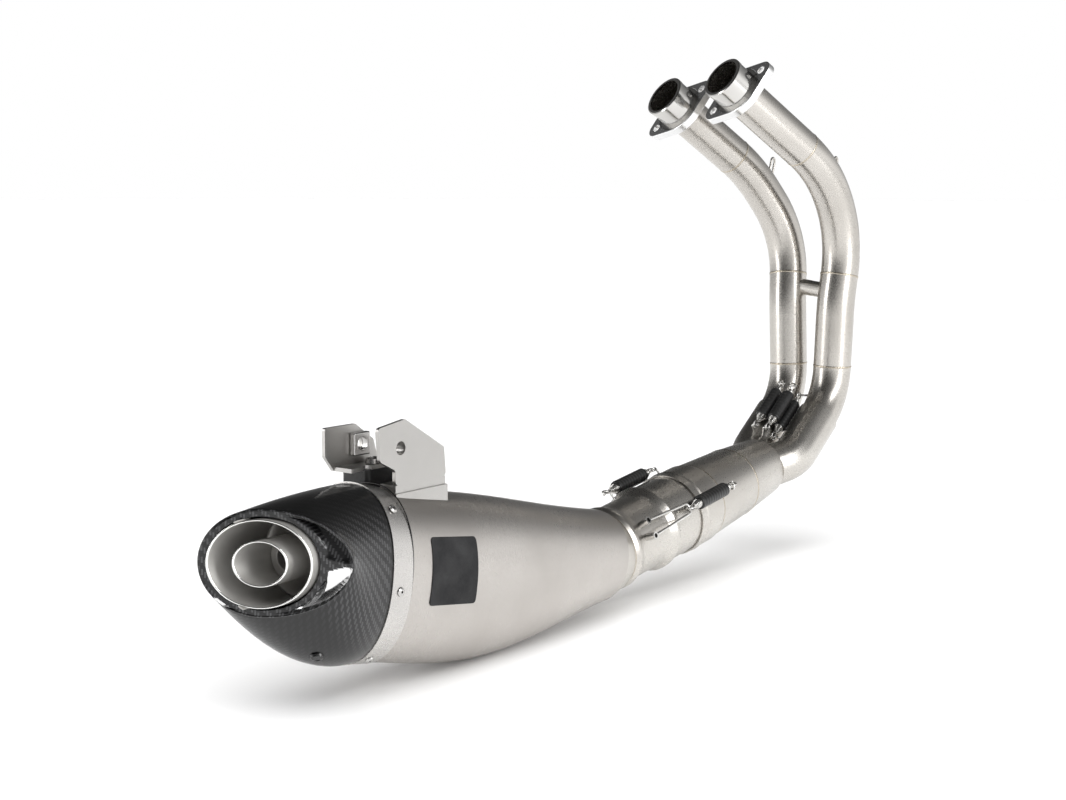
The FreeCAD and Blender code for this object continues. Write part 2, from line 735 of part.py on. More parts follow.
def make_core():
    """Perforated core tube, with holes in rows that alternate."""
    origin = body_point(CORE_START, 0, 0)
    core = ring(origin, BODY_AXIS, CORE_R, CORE_R - 1.0, CORE_END - CORE_START)
    drills = []
    for row in range(9):
        for spoke in range(4):
            a = math.radians(spoke * 45 + (row % 2) * 22.5)
            out = -Y * math.cos(a) + BODY_UP * math.sin(a)
            centre = body_point(50 + row * 29, 0, 0)
            drills.append(cylinder(centre - out * 40, out, 5, 80))
    save("perforated_core", core.cut(Part.makeCompound(drills)))
    cone = [(BODY_START + 2, 34.6), (BODY_START + 2, 35.8), (CORE_START - 3, CORE_R + 1.1),
            (CORE_START + 4, CORE_R + 1.1), (CORE_START + 4, CORE_R + 0.05), (CORE_START, CORE_R + 0.05),
            (CORE_START, CORE_R - 1), (CORE_START - 3, CORE_R - 0.1)]
    save("core_inlet_cone", lathe(BODY_FRAME, cone))


def make_inlet_pipe():
    outside = [(SPIGOT_REACH, SPIGOT_R), (BEAD_AT + 6, SPIGOT_R), (BEAD_AT + 3.5, BEAD_R - 0.9),
               (BEAD_AT + 1.5, BEAD_R), (BEAD_AT - 1.5, BEAD_R), (BEAD_AT - 4, BEAD_R - 1.2),
               (BEAD_AT - 8, PIPE_R + 0.8), (BEAD_AT - 12, PIPE_R), (-90, PIPE_R), (-95, PIPE_R + 1.3),
               (-99, PIPE_R + 2.8), (-102, PIPE_R + 2.6), (-106, PIPE_R + 0.8)]
    inside = [(s, r - WALL) for s, r in reversed(outside)]
    save("silencer_inlet_pipe", lathe(COLLECTOR_FRAME, outside + inside))


def make_neck():
    """Mitred neck between the inlet pipe and the body."""
    def circle(radius):
        return closed_wire(lambda a: collector_point(-106, math.degrees(a), radius))

    start = BODY_SECTIONS[0]
    outer = Part.makeLoft([circle(PIPE_R + 0.8), body_wire(start, 0)], True, True)
    inner = Part.makeLoft([circle(PIPE_R + 0.8 - WALL), body_wire(start, WALL)], True, True)
    save("silencer_neck", outer.cut(inner))


def surface_place(t, angle, rise):
    """Placement on the body near its rear end, with local Z pointing out."""
    half_width, top, bottom = BODY_SECTIONS[-1][1:]
    u, w = oval(half_width, top, bottom, 0, angle)
    u2, w2 = oval(half_width, top, bottom, 0, angle + 0.02)
    along = -Y * (u2 - u) + BODY_UP * (w2 - w)
    out = unit(along.cross(BODY_AXIS)) * -1
    if out.dot(body_point(t, u, w) - body_point(t, 0, (top - bottom) / 2)) < 0:
        out = out * -1
    return frame_at(body_point(t, u, w) + out * rise, out, BODY_AXIS)


RIVET_ANGLES = (-5, -62, -118, 185, 128, 48)


def make_rivets():
    head = [(-2.6, 1.6), (0.1, 1.6), (0.1, 3.4), (0.7, 3.2), (1.4, 2.0), (1.4, 0.9), (-2.6, 0.9)]
    rivets = [lathe(surface_place(RIVET_AT, math.radians(a), 0.9), head) for a in RIVET_ANGLES]
    save("band_rivets", Part.makeCompound(rivets))


def make_badge():
    """Plain blank heat-proof foil on the outboard side."""
    foil = body_solid(-0.5).cut(body_solid(-0.05))
    window = Part.makeBox(52, 60, 49, Vector(-27, 0, -26))
    window = window.makeFillet(3, [e for e in window.Edges if abs(e.BoundBox.YLength - 60) < 0.01])
    place = Placement(body_point(253, 20, -1.5), Rotation(BODY_AXIS, -Y, BODY_UP, "ZXY"))
    save("blank_badge", largest(foil.common(placed(window, place))))


def screw_seat():
    out = unit(-Y * 0.35 - BODY_UP * 0.94 + BODY_AXIS * 0.12)
    return frame_at(body_point(355, 14, -64), out, BODY_AXIS)


def make_cap_screw():
    """Button-head screw under the cap, that steadies the outlet tube."""
    head = [(-20, 0), (-20, 2.5), (-1.6, 2.5), (-1.6, 5.2), (0.2, 5.0), (1.8, 3.6), (2.2, 2.2), (0.6, 2.0), (0.6, 0)]
    save("cap_screw", lathe(screw_seat(), head))


# ---------------------------------------------------------------------------
# Hanger bracket
# ---------------------------------------------------------------------------

def plate(y, corners, corner_r):
    """Flat plate in the XZ plane, centred on y, with rounded corners."""
    points = [Vector(x, y - PLATE_T / 2, z) for x, z in corners]
    solid = Part.Face(Part.makePolygon(points + points[:1])).extrude(Y * PLATE_T)
    edges = [e for e in solid.Edges if abs(e.BoundBox.YLength - PLATE_T) < 0.01]
    edges = [e for e in edges if e.BoundBox.XLength < 0.01 and e.BoundBox.ZLength < 0.01]
    return solid.makeFillet(corner_r, edges)


def hanger_hole(y, radius, length):
    centre = Vector(HANGER_HOLE.x, y - length / 2, HANGER_HOLE.z)
    return cylinder(centre, Y, radius, length)


def make_bracket(body, cap):
    near = plate(NEAR_PLATE_Y, [(-549, -290), (-549, -279), (-565, -271), (-567, -247), (-538, -243),
                                (-495, -268), (-493, -290)], 3.0)
    save("hanger_near_plate", near.cut(hanger_hole(NEAR_PLATE_Y, HANGER_HOLE_R, 20)))
    far = plate(FAR_PLATE_Y, [(-568, -281), (-577, -270), (-577, -249), (-545, -249), (-526, -262),
                              (-520, -281)], 2.0)
    lip = Part.makeBox(48, 20, PLATE_T, Vector(-568, FAR_PLATE_Y + PLATE_T / 2 - 20, -281))
    lip = lip.cut(cylinder(Vector(-551, FAR_PLATE_Y - 19, -285), Z, 5, 20))
    far = far.cut(hanger_hole(FAR_PLATE_Y, HANGER_HOLE_R, 20)).fuse(lip)
    lip_bolt = Vector(-535, FAR_PLATE_Y - 10, -281)
    far = far.cut(cylinder(lip_bolt - Z * 5, Z, 3.3, 20))
    save("hanger_far_plate", far.removeSplitter())
    save("hanger_bolt", lathe(frame_at(lip_bolt, Z, X), [(-8, 0), (-8, 3.2), (3.05, 3.2), (3.05, 6.5), (6.5, 5.6),
                                                         (7.2, 3.4), (5, 2.4), (5, 0)]))
    make_foot(body, cap)
    make_rubber(body, cap, lip_bolt)
    make_hanger_hardware()


def make_foot(body, cap):
    """Stepped foot, welded to the sleeve, that carries the near plate."""
    low = Part.makeBox(57, 19, 30, Vector(-550, -112, -326))
    high = Part.makeBox(55, 15, 12, Vector(-549, NEAR_PLATE_Y - PLATE_T / 2, -302))
    foot = largest(low.fuse(high).cut(body))
    save("hanger_foot", largest(foot.cut(cap)))


def make_rubber(body, cap, lip_bolt):
    block = Part.makeBox(44, 27, 25, Vector(-551.5, -86.5, -306))
    block = block.makeFillet(4, [e for e in block.Edges if e.BoundBox.ZLength > 24])
    block = largest(block.cut(body)).cut(cap)
    block = block.cut(cylinder(lip_bolt - Z * 8.2, Z, 3.4, 20))
    save("rubber_mount", largest(block))


def make_hanger_hardware():
    cage = Part.makeBox(17, 5, 17, Vector(HANGER_HOLE.x - 8.5, FAR_PLATE_Y - PLATE_T / 2 - 5.05, HANGER_HOLE.z - 8.5))
    cage = cage.makeFillet(1.2, cage.Edges)
    save("cage_nut", cage.cut(hanger_hole(FAR_PLATE_Y, HANGER_HOLE_R + 0.3, 40)))
    y = NEAR_PLATE_Y + PLATE_T / 2 + 0.05
    bush = ring(Vector(HANGER_HOLE.x, y, HANGER_HOLE.z), Y, 8.0, HANGER_HOLE_R + 0.3, 9)
    save("hanger_bush", bush)


def main():
    make_headers()
    make_crossover()
    make_wire_loops()
    make_flanges()
    make_collector_inlets()
    make_collector_body()
    make_header_springs()
    make_silencer_springs()
    body = body_solid(0)
    make_silencer_body(body, body_solid(BODY_WALL))
    make_inlet_pipe()
    make_neck()
    make_end_cap()
    make_outlet()
    make_tip_clips()
    make_rivets()
    make_badge()
    make_cap_screw()
    make_bracket(body, cap_solid((0, 0.2, 0.4, 0.6, 0.8, 1.0), 0))


main()
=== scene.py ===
import json
import math

import bmesh
import bpy
import numpy as np
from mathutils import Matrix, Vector, kdtree


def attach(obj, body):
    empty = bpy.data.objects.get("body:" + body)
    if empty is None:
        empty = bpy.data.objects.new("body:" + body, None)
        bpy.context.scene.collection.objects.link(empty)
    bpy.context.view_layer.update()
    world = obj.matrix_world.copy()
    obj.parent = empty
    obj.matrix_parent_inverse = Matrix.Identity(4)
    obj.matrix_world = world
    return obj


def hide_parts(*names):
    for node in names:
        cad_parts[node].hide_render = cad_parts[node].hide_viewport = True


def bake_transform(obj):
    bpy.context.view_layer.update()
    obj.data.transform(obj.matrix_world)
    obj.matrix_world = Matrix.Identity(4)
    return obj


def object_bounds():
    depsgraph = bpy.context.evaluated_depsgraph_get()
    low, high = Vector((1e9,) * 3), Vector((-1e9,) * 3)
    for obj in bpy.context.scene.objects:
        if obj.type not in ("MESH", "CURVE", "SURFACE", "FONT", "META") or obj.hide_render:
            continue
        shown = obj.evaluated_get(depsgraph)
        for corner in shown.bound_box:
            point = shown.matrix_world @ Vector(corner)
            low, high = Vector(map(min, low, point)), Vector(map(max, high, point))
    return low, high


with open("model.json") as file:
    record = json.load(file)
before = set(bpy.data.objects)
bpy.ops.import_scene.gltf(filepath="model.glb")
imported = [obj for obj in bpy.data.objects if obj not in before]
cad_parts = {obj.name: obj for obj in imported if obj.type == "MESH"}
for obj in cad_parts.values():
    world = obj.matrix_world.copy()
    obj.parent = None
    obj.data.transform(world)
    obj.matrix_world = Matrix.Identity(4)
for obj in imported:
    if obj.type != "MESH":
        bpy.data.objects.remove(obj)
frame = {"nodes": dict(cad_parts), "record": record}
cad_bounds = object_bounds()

# ---------------------------------------------------------------------------
# Frame: metres, +Z up, +X along the silencer towards the engine, and -Y the
# outboard side. Sizes below are millimetres times MM.
# ---------------------------------------------------------------------------

MM = 0.001
NODES = frame["nodes"]
OUTBOARD = Vector((0, -1, 0))
UP = Vector((0, 0, 1))

# Silencer, from its own axis
COLLECTOR_MOUTH = Vector((-156, -91, -374)) * MM
COLLECTOR_PITCH = math.radians(8.0)
INLET_BEND = 110 * MM
BODY_PITCH = math.radians(8.6)
BODY_END = 321 * MM
BAND_START = 300 * MM
BODY_POWER = 2.2
END_HALF_WIDTH = 46.5 * MM
END_TOP = 55.5 * MM
END_BOTTOM = 73.0 * MM

# Outlet: level tubes, cut by an upright face that leans back outboard
OUTLET_AT = 402 * MM
FACE_LEAN = math.radians(33.0)
FACE_HALF_HEIGHT = 37.3 * MM
FACE_INBOARD = 37 * MM
FACE_OUTBOARD = 52.5 * MM
CAP_HOLE_R = 32.2 * MM
TIP_R = 30.6 * MM
INNER_TIP_R = 16 * MM
TIP_WALL = 1.2 * MM
TIP_REACH = 50 * MM
DISH_AT = -32 * MM
INSERT_AT = -22 * MM
BORE_R = 8.2 * MM

# Recess, rib and pockets of the outlet face
RIM_ROLL = 1.6 * MM
RIM_RISE = 0.9 * MM
RECESS_START = 2.2 * MM
RECESS_END = 4.2 * MM
RECESS_DEPTH = 1.6 * MM
RECESS_NARROW = 5 * MM
RECESS_WIDE = 12 * MM
RIB_HALF = 1.6 * MM
RIB_FLARE = 0.30
RIB_TIP = 45 * MM
POCKET_DEPTH = 1.2 * MM
POCKET_SLOPE = 0.35
POCKET_EDGE = 0.8 * MM
POCKET_RIM_GAP = 3.4 * MM
POCKET_HOLE_GAP = 3.2 * MM
POLISHED_DEPTH = 1.5 * MM
BORE_DEPTHS = (3 * MM, 8 * MM, 16 * MM, 30 * MM)

# Springs
WIRE_R = 0.62 * MM
WIRE_PITCH = 2.08 * WIRE_R
COIL_R = 4.6 * MM
COIL_END_R = 2.2 * MM
COIL_TAPER = 7 * MM
EYE_REACH = 9 * MM
EYE_GAP = 1.2 * MM
EYE_CENTRE = 5.1 * MM
EYE_R = 3.6 * MM
EYE_WIRE_R = 0.85 * MM
EYE_TURN = math.radians(320)
SLEEVE_R = 6.3 * MM
SLEEVE_ROLL = 1.4 * MM
SLEEVE_ROLL_DEPTH = 0.9 * MM
SLEEVE_RING_PITCH = 4.2 * MM
SLEEVE_RING_HEIGHT = 0.12 * MM
HEADER_SLEEVE = 38 * MM
SILENCER_SLEEVE = 46 * MM

COLLECTOR_AXIS = Vector((math.cos(COLLECTOR_PITCH), 0, math.sin(COLLECTOR_PITCH)))
BODY_AXIS = Vector((-math.cos(BODY_PITCH), 0, math.sin(BODY_PITCH)))
BODY_UP = BODY_AXIS.cross(OUTBOARD)
BODY_ORIGIN = COLLECTOR_MOUTH - COLLECTOR_AXIS * INLET_BEND
OUTLET = BODY_ORIGIN + BODY_AXIS * OUTLET_AT
REARWARD = Vector((-1, 0, 0))


def body_point(t, outboard, up):
    """Point of the silencer, from its own axis."""
    return BODY_ORIGIN + BODY_AXIS * t + OUTBOARD * outboard + BODY_UP * up


# ---------------------------------------------------------------------------
# Materials
# ---------------------------------------------------------------------------

class Shader:
    """A node material, with short calls for the nodes that it uses."""

    def __init__(self, name):
        self.material = bpy.data.materials.new(name)
        self.material.use_nodes = True
        self.tree = self.material.node_tree
        self.bsdf = self.tree.nodes["Principled BSDF"]
        self.place = self.tree.nodes.new("ShaderNodeTexCoord").outputs["Object"]

    def node(self, kind, **inputs):
        made = self.tree.nodes.new(kind)
        for key, value in inputs.items():
            socket = made.inputs[key.replace("_", " ")]
            if isinstance(value, bpy.types.NodeSocket):
                self.tree.links.new(value, socket)
            else:
                socket.default_value = value
        return made

    def math(self, operation, first, second=0.0):
        made = self.tree.nodes.new("ShaderNodeMath")
        made.operation = operation
        for socket, value in zip(made.inputs, (first, second)):
            if isinstance(value, bpy.types.NodeSocket):
                self.tree.links.new(value, socket)
            else:
                socket.default_value = value
        return made.outputs[0]

    def noise(self, scale, detail=4.0, stretch=(1, 1, 1), turn=(0, 0, 0)):
        moved = self.node("ShaderNodeMapping", Vector=self.place, Scale=stretch, Rotation=turn)
        made = self.node("ShaderNodeTexNoise", Vector=moved.outputs[0], Scale=scale, Detail=detail)
        return made.outputs["Fac"]

    def spread(self, value, low, high, start=0.3, end=0.7):
        limits = {"From_Min": start, "From_Max": end, "To_Min": low, "To_Max": high}
        return self.node("ShaderNodeMapRange", Value=value, **limits).outputs[0]

    def blend(self, factor, first, second):
        made = self.tree.nodes.new("ShaderNodeMix")
        made.data_type = "RGBA"
        for socket, value in ((made.inputs[0], factor), (made.inputs[6], first), (made.inputs[7], second)):
            if isinstance(value, bpy.types.NodeSocket):
                self.tree.links.new(value, socket)
            else:
                socket.default_value = value if isinstance(value, float) else (*value, 1)
        return made.outputs[2]

    def bump(self, height, strength, distance):
        made = self.node("ShaderNodeBump", Height=height, Strength=strength, Distance=distance)
        self.tree.links.new(made.outputs[0], self.bsdf.inputs["Normal"])

    def set(self, **inputs):
        for key, value in inputs.items():
            socket = self.bsdf.inputs[key.replace("_", " ")]
            if isinstance(value, bpy.types.NodeSocket):
                self.tree.links.new(value, socket)
            else:
                socket.default_value = value


def metal(name, light, dark, rough, grain=(1, 1, 1), turn=(0, 0, 0), lines=0.3, metallic=1.0):
    """Brushed or satin metal: slow cloudy colour, fine grain in gloss and relief."""
    s = Shader(name)
    clouds = s.noise(14.0, 5.0)
    fine = s.noise(900.0, 3.0, grain, turn)
    s.set(Metallic=metallic)
    s.set(Base_Color=s.blend(s.spread(clouds, 0.0, 1.0), light, dark))
    mixed = s.math("ADD", s.math("MULTIPLY", fine, 0.6), s.math("MULTIPLY", clouds, 0.4))
    s.set(Roughness=s.spread(mixed, rough - 0.05, rough + 0.07, 0.35, 0.65))
    s.bump(fine, lines, 0.00004)
    return s.material


def polymer(name, colour, rough, bump=0.3, grain=500.0):
    s = Shader(name)
    fine = s.noise(grain, 5.0)
    paler = tuple(c * 1.5 + 0.004 for c in colour)
    s.set(Base_Color=s.blend(s.spread(s.noise(40.0), 0.0, 1.0), colour, paler))
    s.set(Roughness=s.spread(fine, rough - 0.08, rough + 0.1))
    s.bump(fine, bump, 0.0001)
    return s.material


def twill(name, pitch):
    """Clear-coated 2x2 carbon twill, laid in the piece's own surface coordinates. Its colour holds painted
    light: a painted sheen along each thread's crown, warp threads painted lighter than weft, and a mask
    that paints the weave lit on some sides and in painted shade on others.
    """
    s = Shader(name)
    painted_weave_light_map = s.tree.nodes.new("ShaderNodeUVMap")
    painted_weave_light_map.uv_map = "painted_weave_light"
    painted_weave_light = s.node("ShaderNodeSeparateXYZ", Vector=painted_weave_light_map.outputs[0]).outputs[0]
    uv = s.tree.nodes.new("ShaderNodeUVMap")
    uv.uv_map = "weave"
    split = s.node("ShaderNodeSeparateXYZ", Vector=uv.outputs[0])
    a = s.math("DIVIDE", split.outputs[0], pitch)
    b = s.math("DIVIDE", split.outputs[1], pitch)
    column = s.math("FLOOR", a)
    row = s.math("FLOOR", b)
    step = s.math("FLOORED_MODULO", s.math("ADD", column, row), 4.0)
    warp = s.math("LESS_THAN", step, 1.5)
    across_a = s.math("SUBTRACT", s.math("FRACT", a), 0.5)
    across_b = s.math("SUBTRACT", s.math("FRACT", b), 0.5)
    crown_a = s.math("SUBTRACT", 1.0, s.math("MULTIPLY", s.math("MULTIPLY", across_a, across_a), 3.6))
    crown_b = s.math("SUBTRACT", 1.0, s.math("MULTIPLY", s.math("MULTIPLY", across_b, across_b), 3.6))
    picked = s.math("ADD", s.math("MULTIPLY", warp, crown_a),
                    s.math("MULTIPLY", s.math("SUBTRACT", 1.0, warp), crown_b))
    threads = s.noise(2600.0, 2.0)
    # Painted sheen: each thread is lighter in colour along its crown. The same value also sets the gloss.
    crown_sheen = s.math("MULTIPLY", picked, s.spread(threads, 0.6, 1.2))
    # Warp threads painted lighter than weft threads, as the light catches them.
    lit = s.blend(warp, (0.010, 0.010, 0.011), (0.075, 0.075, 0.078))
    # The weave colour is scaled by the painted-light mask of the second UV layer: lit sides keep it, shaded
    # sides go near black.
    shown = s.math("MULTIPLY", s.spread(crown_sheen, 0.0, 1.0, 0.25, 1.05), painted_weave_light)
    s.set(Base_Color=s.blend(shown, (0.005, 0.005, 0.005), lit))
    s.set(Metallic=0.5, Roughness=s.spread(crown_sheen, 0.5, 0.28, 0.0, 1.0))
    s.set(Coat_Weight=0.8, Coat_Roughness=0.08, Specular_IOR_Level=0.2)
    # The relief fades with the same painted-light mask.
    s.bump(s.math("MULTIPLY", picked, painted_weave_light), 0.35, 0.00025)
    return s.material


def plain_badge(name):
    s = Shader(name)
    s.set(Base_Color=s.blend(s.spread(s.noise(60.0), 0.0, 1.0), (0.012, 0.012, 0.013), (0.03, 0.03, 0.031)))
    s.set(Roughness=s.spread(s.noise(700.0), 0.45, 0.6), Specular_IOR_Level=0.15)
    s.bump(s.noise(1200.0), 0.15, 0.00003)
    return s.material


STEEL = metal("header_steel", (0.60, 0.575, 0.54), (0.50, 0.475, 0.44), 0.27)
COLLECTOR = metal("collector_steel", (0.62, 0.60, 0.565), (0.53, 0.505, 0.47), 0.28)
SLEEVE = metal("silencer_titanium", (0.53, 0.505, 0.48), (0.46, 0.435, 0.41), 0.30, (3.0, 0.3, 0.3),
               (0, -BODY_PITCH, 0), 0.10)
BAND = metal("band_steel", (0.60, 0.585, 0.565), (0.53, 0.515, 0.50), 0.28, lines=0.05)
BRIGHT = metal("bright_aluminium", (0.86, 0.86, 0.86), (0.78, 0.78, 0.78), 0.2, (1, 1, 6))
TURNED = metal("turned_steel", (0.66, 0.65, 0.63), (0.56, 0.55, 0.53), 0.14, lines=0.15)
PLATE = metal("bracket_steel", (0.50, 0.49, 0.475), (0.43, 0.42, 0.405), 0.30, (0.3, 1, 4), lines=0.1)
WIRE = metal("spring_wire", (0.72, 0.71, 0.69), (0.60, 0.59, 0.57), 0.17, lines=0.1)
TIP = metal("outlet_steel", (0.42, 0.41, 0.39), (0.34, 0.33, 0.315), 0.42, lines=0.1, metallic=0.6)
RIM = metal("cut_rim", (0.92, 0.92, 0.9), (0.84, 0.84, 0.82), 0.12, lines=0.1)
FASTENER = metal("fastener_steel", (0.62, 0.61, 0.59), (0.48, 0.47, 0.46), 0.2)
WELD = metal("weld_metal", (0.56, 0.51, 0.43), (0.42, 0.37, 0.30), 0.24)
INNER = metal("inner_steel", (0.4, 0.38, 0.36), (0.3, 0.28, 0.26), 0.4)
# Black colour of the cap screw. The same material paints the shade in the band seam.
SCREW_BLACK_AND_SEAM_SHADE = metal("screw_black_and_seam_shade", (0.10, 0.10, 0.10), (0.06, 0.06, 0.06), 0.28)
SILICONE = polymer("silicone", (0.007, 0.007, 0.007), 0.36)
RUBBER = polymer("mount_rubber", (0.008, 0.008, 0.008), 0.5, 0.6)
WOOL = polymer("glass_wool", (0.55, 0.5, 0.36), 0.85, 1.0, 300.0)
BADGE = plain_badge("blank_badge")
CARBON = twill("carbon_twill", 2.1 * MM)
FACET = metal("polished_facet", (0.8, 0.8, 0.8), (0.72, 0.72, 0.72), 0.12, lines=0.05)

SLOT_MATERIALS = {
    "header_steel": STEEL,
    "flange_aluminium": BRIGHT,
    "turned_steel": TURNED,
    "silicone": SILICONE,
    "spring_wire": WIRE,
    "collector_steel": COLLECTOR,
    "silencer_titanium": SLEEVE,
    "band_steel": BAND,
    "carbon_composite": CARBON,
    "outlet_steel": TIP,
    "badge_foil": BADGE,
    "glass_wool": WOOL,
    "mount_rubber": RUBBER,
    "inner_steel": INNER,
    "bracket_steel": PLATE,
    "fastener_steel": FASTENER,
}


def dress_cad_nodes():
    for part in frame["record"]["subparts"]:
        mesh = NODES[part["node"]].data
        mesh.materials.clear()
        mesh.materials.append(SLOT_MATERIALS[part["material_slot"]])
    NODES["cap_screw"].data.materials[0] = SCREW_BLACK_AND_SEAM_SHADE


# ---------------------------------------------------------------------------
# Mesh helpers
# ---------------------------------------------------------------------------

def mesh_piece(name, vertices, faces, material, slot, body=None, smooth=True):
    mesh = bpy.data.meshes.new(name)
    mesh.from_pydata([tuple(v) for v in vertices], [], faces)
    mesh.validate()
    mesh.materials.append(material)
    piece = bpy.data.objects.new(name, mesh)
    bpy.context.scene.collection.objects.link(piece)
    bm = bmesh.new()
    bm.from_mesh(mesh)
    bmesh.ops.recalc_face_normals(bm, faces=bm.faces)
    bm.to_mesh(mesh)
    bm.free()
    for polygon in mesh.polygons:
        polygon.use_smooth = smooth
    if body:
        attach(piece, body)
    return piece


def grid_faces(rows, columns, close_rows=False, close_columns=True):
    """Quads of a rows x columns grid of points."""
    faces = []
    for i in range(rows if close_rows else rows - 1):
        for j in range(columns if close_columns else columns - 1):
            near = i * columns
            far = (i + 1) % rows * columns
            j2 = (j + 1) % columns
            faces.append((near + j, near + j2, far + j2, far + j))
    return faces


def across(axis):
    """Two directions square to an axis."""
    side = axis.orthogonal().normalized()
    return side, axis.cross(side).normalized()


def swept_tube(points, radius, sides):
    """Vertices and faces of a round bar along the points."""
    count = len(points)
    vertices = []
    side = None
    for k, point in enumerate(points):
        along = (points[min(k + 1, count - 1)] - points[max(k - 1, 0)]).normalized()
        side = across(along)[0] if side is None else (side - along * side.dot(along)).normalized()
        up = along.cross(side)
        for j in range(sides):
            a = 2 * math.pi * j / sides
            vertices.append(point + (side * math.cos(a) + up * math.sin(a)) * radius)
    faces = grid_faces(count, sides)
    faces.append(tuple(range(sides))[::-1])
    faces.append(tuple((count - 1) * sides + j for j in range(sides)))
    return vertices, faces


def joined(parts):
    """One vertex and face list out of several."""
    vertices = []
    faces = []
    for some_vertices, some_faces in parts:
        base = len(vertices)
        vertices += some_vertices
        faces += [tuple(base + i for i in face) for face in some_faces]
    return vertices, faces


def turned(origin, axis, outline, sides=96):
    """Vertices and faces of a closed lathe outline of (distance, radius) pairs."""
    side, up = across(axis)
    vertices = []
    for s, r in outline:
        for j in range(sides):
            a = 2 * math.pi * j / sides
            vertices.append(origin + axis * s + (side * math.cos(a) + up * math.sin(a)) * r)
    return vertices, grid_faces(len(outline), sides, True)


# ---------------------------------------------------------------------------
# Weld beads, laid where two CAD nodes meet
# ---------------------------------------------------------------------------

SEAM_REACH = 1.6 * MM
FIT_ROUNDS = 3
WELD_WIDTH = 1.1 * MM
WELD_HEIGHT = 0.45 * MM
WELD_SUNK = 0.12 * MM
RIPPLE = 1.5 * MM
RIPPLE_STEPS = 5


def seam(first, second):
    """Centre, axis and radius of the ring where two nodes meet, from a circle fit."""
    points = [v.co.copy() for v in NODES[second].data.vertices]
    tree = kdtree.KDTree(len(points))
    for k, point in enumerate(points):
        tree.insert(point, k)
    tree.balance()
    near = [v.co for v in NODES[first].data.vertices if tree.find(v.co)[2] < SEAM_REACH]
    cloud = np.array([tuple(p) for p in near])
    centre = (cloud.min(0) + cloud.max(0)) / 2
    for fit_round in range(FIT_ROUNDS):
        offsets = cloud - centre
        normal = np.linalg.svd(offsets, full_matrices=False)[2][2]
        flat = offsets - np.outer(offsets @ normal, normal)
        design = np.c_[2 * flat, np.ones(len(flat))]
        solution = np.linalg.lstsq(design, (flat ** 2).sum(1), rcond=None)[0]
        centre = centre + solution[:3] - normal * (solution[:3] @ normal)
    radii = np.linalg.norm(cloud - centre, axis=1)
    return Vector(centre), Vector(normal).normalized(), float(np.percentile(radii, 90))


def weld_ring(name, centre, axis, radius, body, slot):
    """Bead with the scalloped ripples of a hand-fed weld."""
    side, up = across(axis)
    steps = int(2 * math.pi * radius / RIPPLE) * RIPPLE_STEPS
    section = 8
    vertices = []
    for k in range(steps):
        a = 2 * math.pi * k / steps
        out = side * math.cos(a) + up * math.sin(a)
        wave = (k % RIPPLE_STEPS) / RIPPLE_STEPS
        lift = WELD_HEIGHT * (0.72 + 0.28 * math.sin(math.pi * wave))
        lean = 0.12 * WELD_WIDTH * math.sin(2 * math.pi * wave)
        for j in range(section):
            b = math.pi * j / (section - 1)
            vertices.append(centre + out * (radius - WELD_SUNK + lift * math.sin(b))
                            + axis * (WELD_WIDTH * math.cos(b) + lean))
    mesh_piece(name, vertices, grid_faces(steps, section, True), WELD, slot, body)


def make_welds():
    for side in ("left", "right"):
        for first, second in (("upper", "bend"), ("bend", "middle"), ("middle", "lower")):
            tube = side + "_header_%s_tube"
            ring = seam(tube % first, tube % second)
            weld_ring("%s_header_%s_weld" % (side, first), *ring, "headers", "header_steel")
    for name, first, second, body in (
            ("merge_front_weld", "merge_cone", "collector_chamber", "collector"),
            ("chamber_rear_weld", "collector_chamber", "collector_socket", "collector"),
            ("neck_front_weld", "silencer_inlet_pipe", "silencer_neck", "silencer")):
        weld_ring(name, *seam(first, second), body, "collector_steel")


# ---------------------------------------------------------------------------
# End cap
# ---------------------------------------------------------------------------

CAP_COLUMNS = 224
CAP_ROWS = 44
FACE_ROWS = 40
CAP_SHRINK = 2.2
CAP_SPACING = 0.85          # below 1, rows are closer together near the face
CAP_GIRTH_R = 58 * MM       # turns the angle round the cap into a length of cloth
WEAVE_LIT_UNTIL = 0.45          # radians from the outboard side, where the painted light on the weave starts to fade into painted shade
WEAVE_SHADED_FROM = 1.0
CAP_ANGLES = [2 * math.pi * j / CAP_COLUMNS for j in range(CAP_COLUMNS + 1)]


def rounded(value, power):
    return math.copysign(abs(value) ** (2 / power), value)


def body_end_point(angle, grow=0.0, t=BODY_END):
    """Point on the body's outline at its rear end."""
    half = (END_TOP + END_BOTTOM) / 2 + grow
    u = (END_HALF_WIDTH + grow) * rounded(math.cos(angle), BODY_POWER)
    w = (END_TOP - END_BOTTOM) / 2 + half * rounded(math.sin(angle), BODY_POWER)
    return body_point(t, u, w)


def face_point(outboard, up, depth=0.0):
    """Point of the upright outlet face, or behind it."""
    return OUTLET - REARWARD * (outboard * math.tan(FACE_LEAN) + depth) + OUTBOARD * outboard + UP * up


def face_outline(angle):
    reach = FACE_OUTBOARD if math.cos(angle) > 0 else FACE_INBOARD
    return reach * math.cos(angle), FACE_HALF_HEIGHT * math.sin(angle)


def smooth(value, low, high):
    x = min(max((value - low) / (high - low), 0.0), 1.0)
    return x * x * (3 - 2 * x)


def pocket_depth(u, w):
    """Two facets beside the rib that runs to the tip of the face."""
    beside = abs(w) - RIB_HALF - max(0.0, RIB_TIP - u) * RIB_FLARE
    half_height = FACE_HALF_HEIGHT * math.sqrt(max(0.0, 1 - (u / FACE_OUTBOARD) ** 2))
    room = half_height - POCKET_RIM_GAP - abs(w)
    clear = math.hypot(u, w) - CAP_HOLE_R - POCKET_HOLE_GAP
    inside = 1.0
    for distance in (beside, room, clear):
        inside *= smooth(distance, 0.0, POCKET_EDGE)
    return inside * (POCKET_DEPTH + POCKET_SLOPE * max(0.0, beside))


def cap_surface_point(share, angle):
    start = body_end_point(angle)
    move = face_point(*face_outline(angle)) - start
    shrink = share ** CAP_SHRINK
    return start + Vector((move.x * share, move.y * shrink, move.z * shrink))


